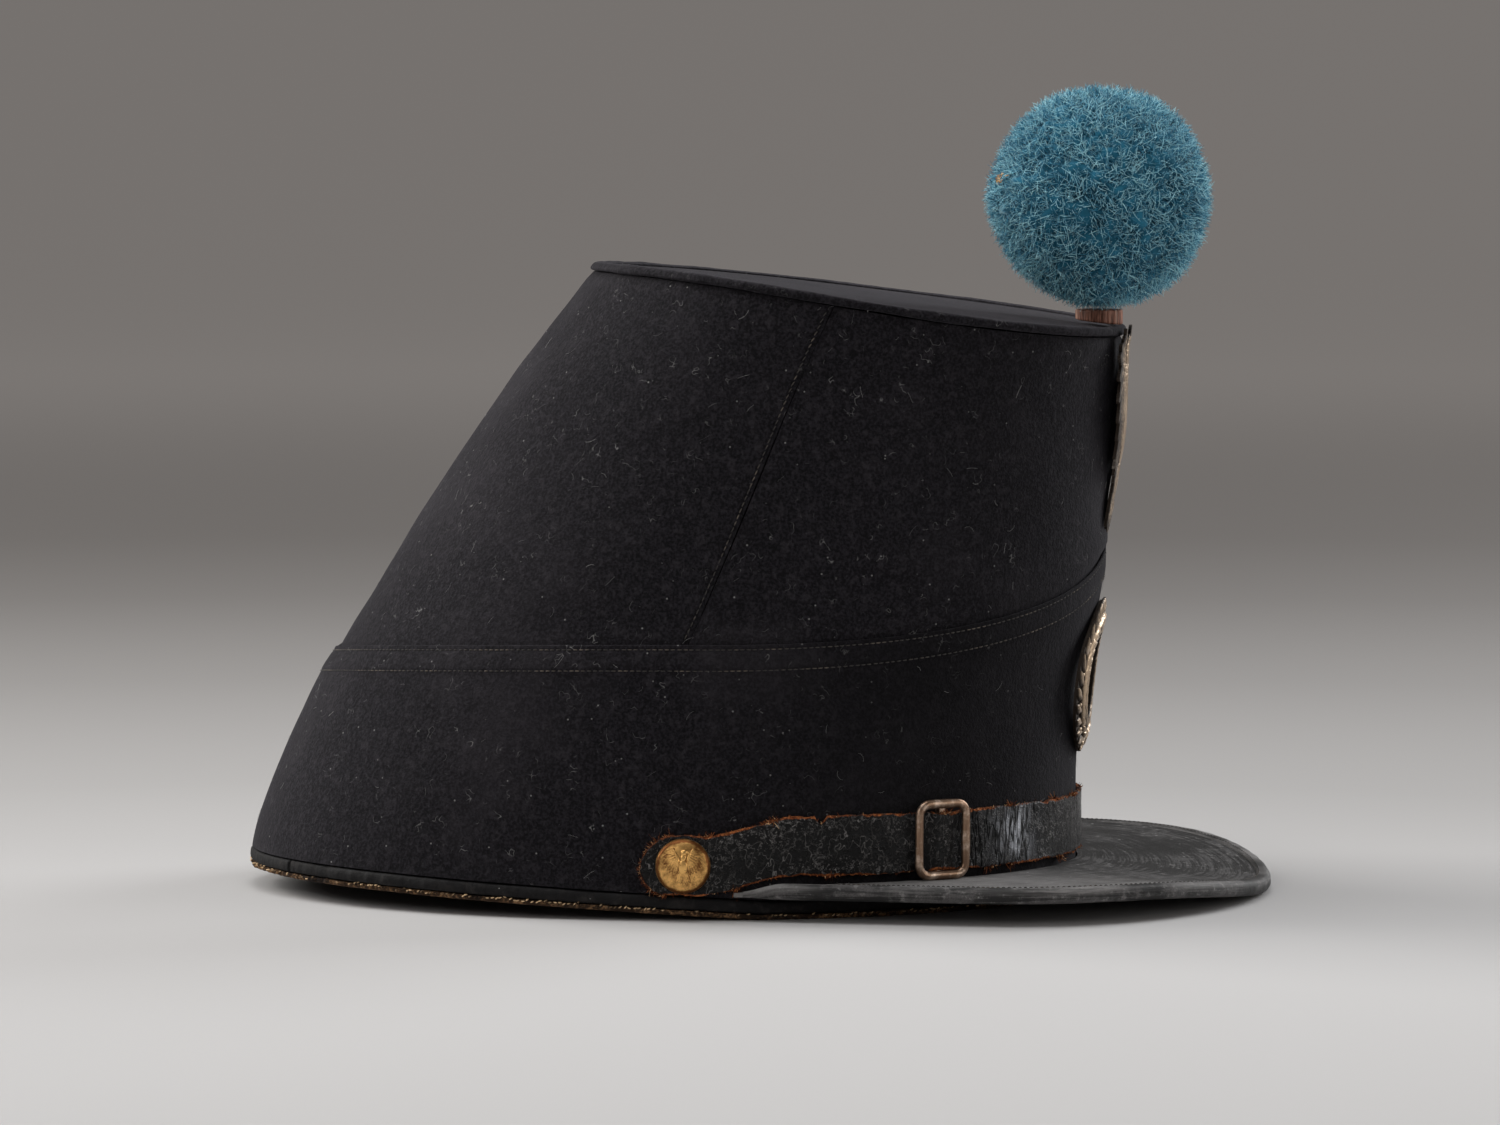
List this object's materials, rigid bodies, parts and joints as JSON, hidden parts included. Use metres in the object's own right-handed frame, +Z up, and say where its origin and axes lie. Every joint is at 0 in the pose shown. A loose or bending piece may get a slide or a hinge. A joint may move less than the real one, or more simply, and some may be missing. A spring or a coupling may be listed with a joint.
{
  "type": "shako",
  "caption": "Soldier's dark wool shako with forward-leaning crown, flat leather visor, chin strap, stamped front plates and a blue wool pompom.",
  "frame": {"origin": "on the table under the middle of the whole cap's box", "axes": "+X towards the cap's front, +Y towards the wearer's left, +Z up"},
  "size_m": [0.2774, 0.1782, 0.2167],
  "materials": {
    "wool_cloth": "felted blue-black wool with pale lint",
    "black_leather": "blackened leather, crackled, worn brown at its edges",
    "visor_leather": "old polished leather, scuffed grey",
    "raw_leather": "raw brown leather edge with thread stitches",
    "aged_brass": "thin stamped brass, toned brown",
    "gilt_brass": "gilt, soft shine",
    "blue_wool": "clipped wool ball",
    "stem_wood": "turned, reddish brown, streaked"
  },
  "bodies": {
    "root": {"crown_front": "wool_cloth", "crown_back": "wool_cloth", "crown_top": "wool_cloth", "top_welt": "wool_cloth", "band": "wool_cloth", "base_binding": "black_leather", "raw_edge": "raw_leather", "visor": "visor_leather", "visor_trim": "visor_leather", "chin_strap": "black_leather", "buckle": "aged_brass", "button_right": "gilt_brass", "button_left": "gilt_brass", "pompom_stem": "stem_wood", "pompom": "blue_wool", "eagle_plate": "aged_brass", "wreath_plate": "aged_brass"}
  },
  "joints": []
}
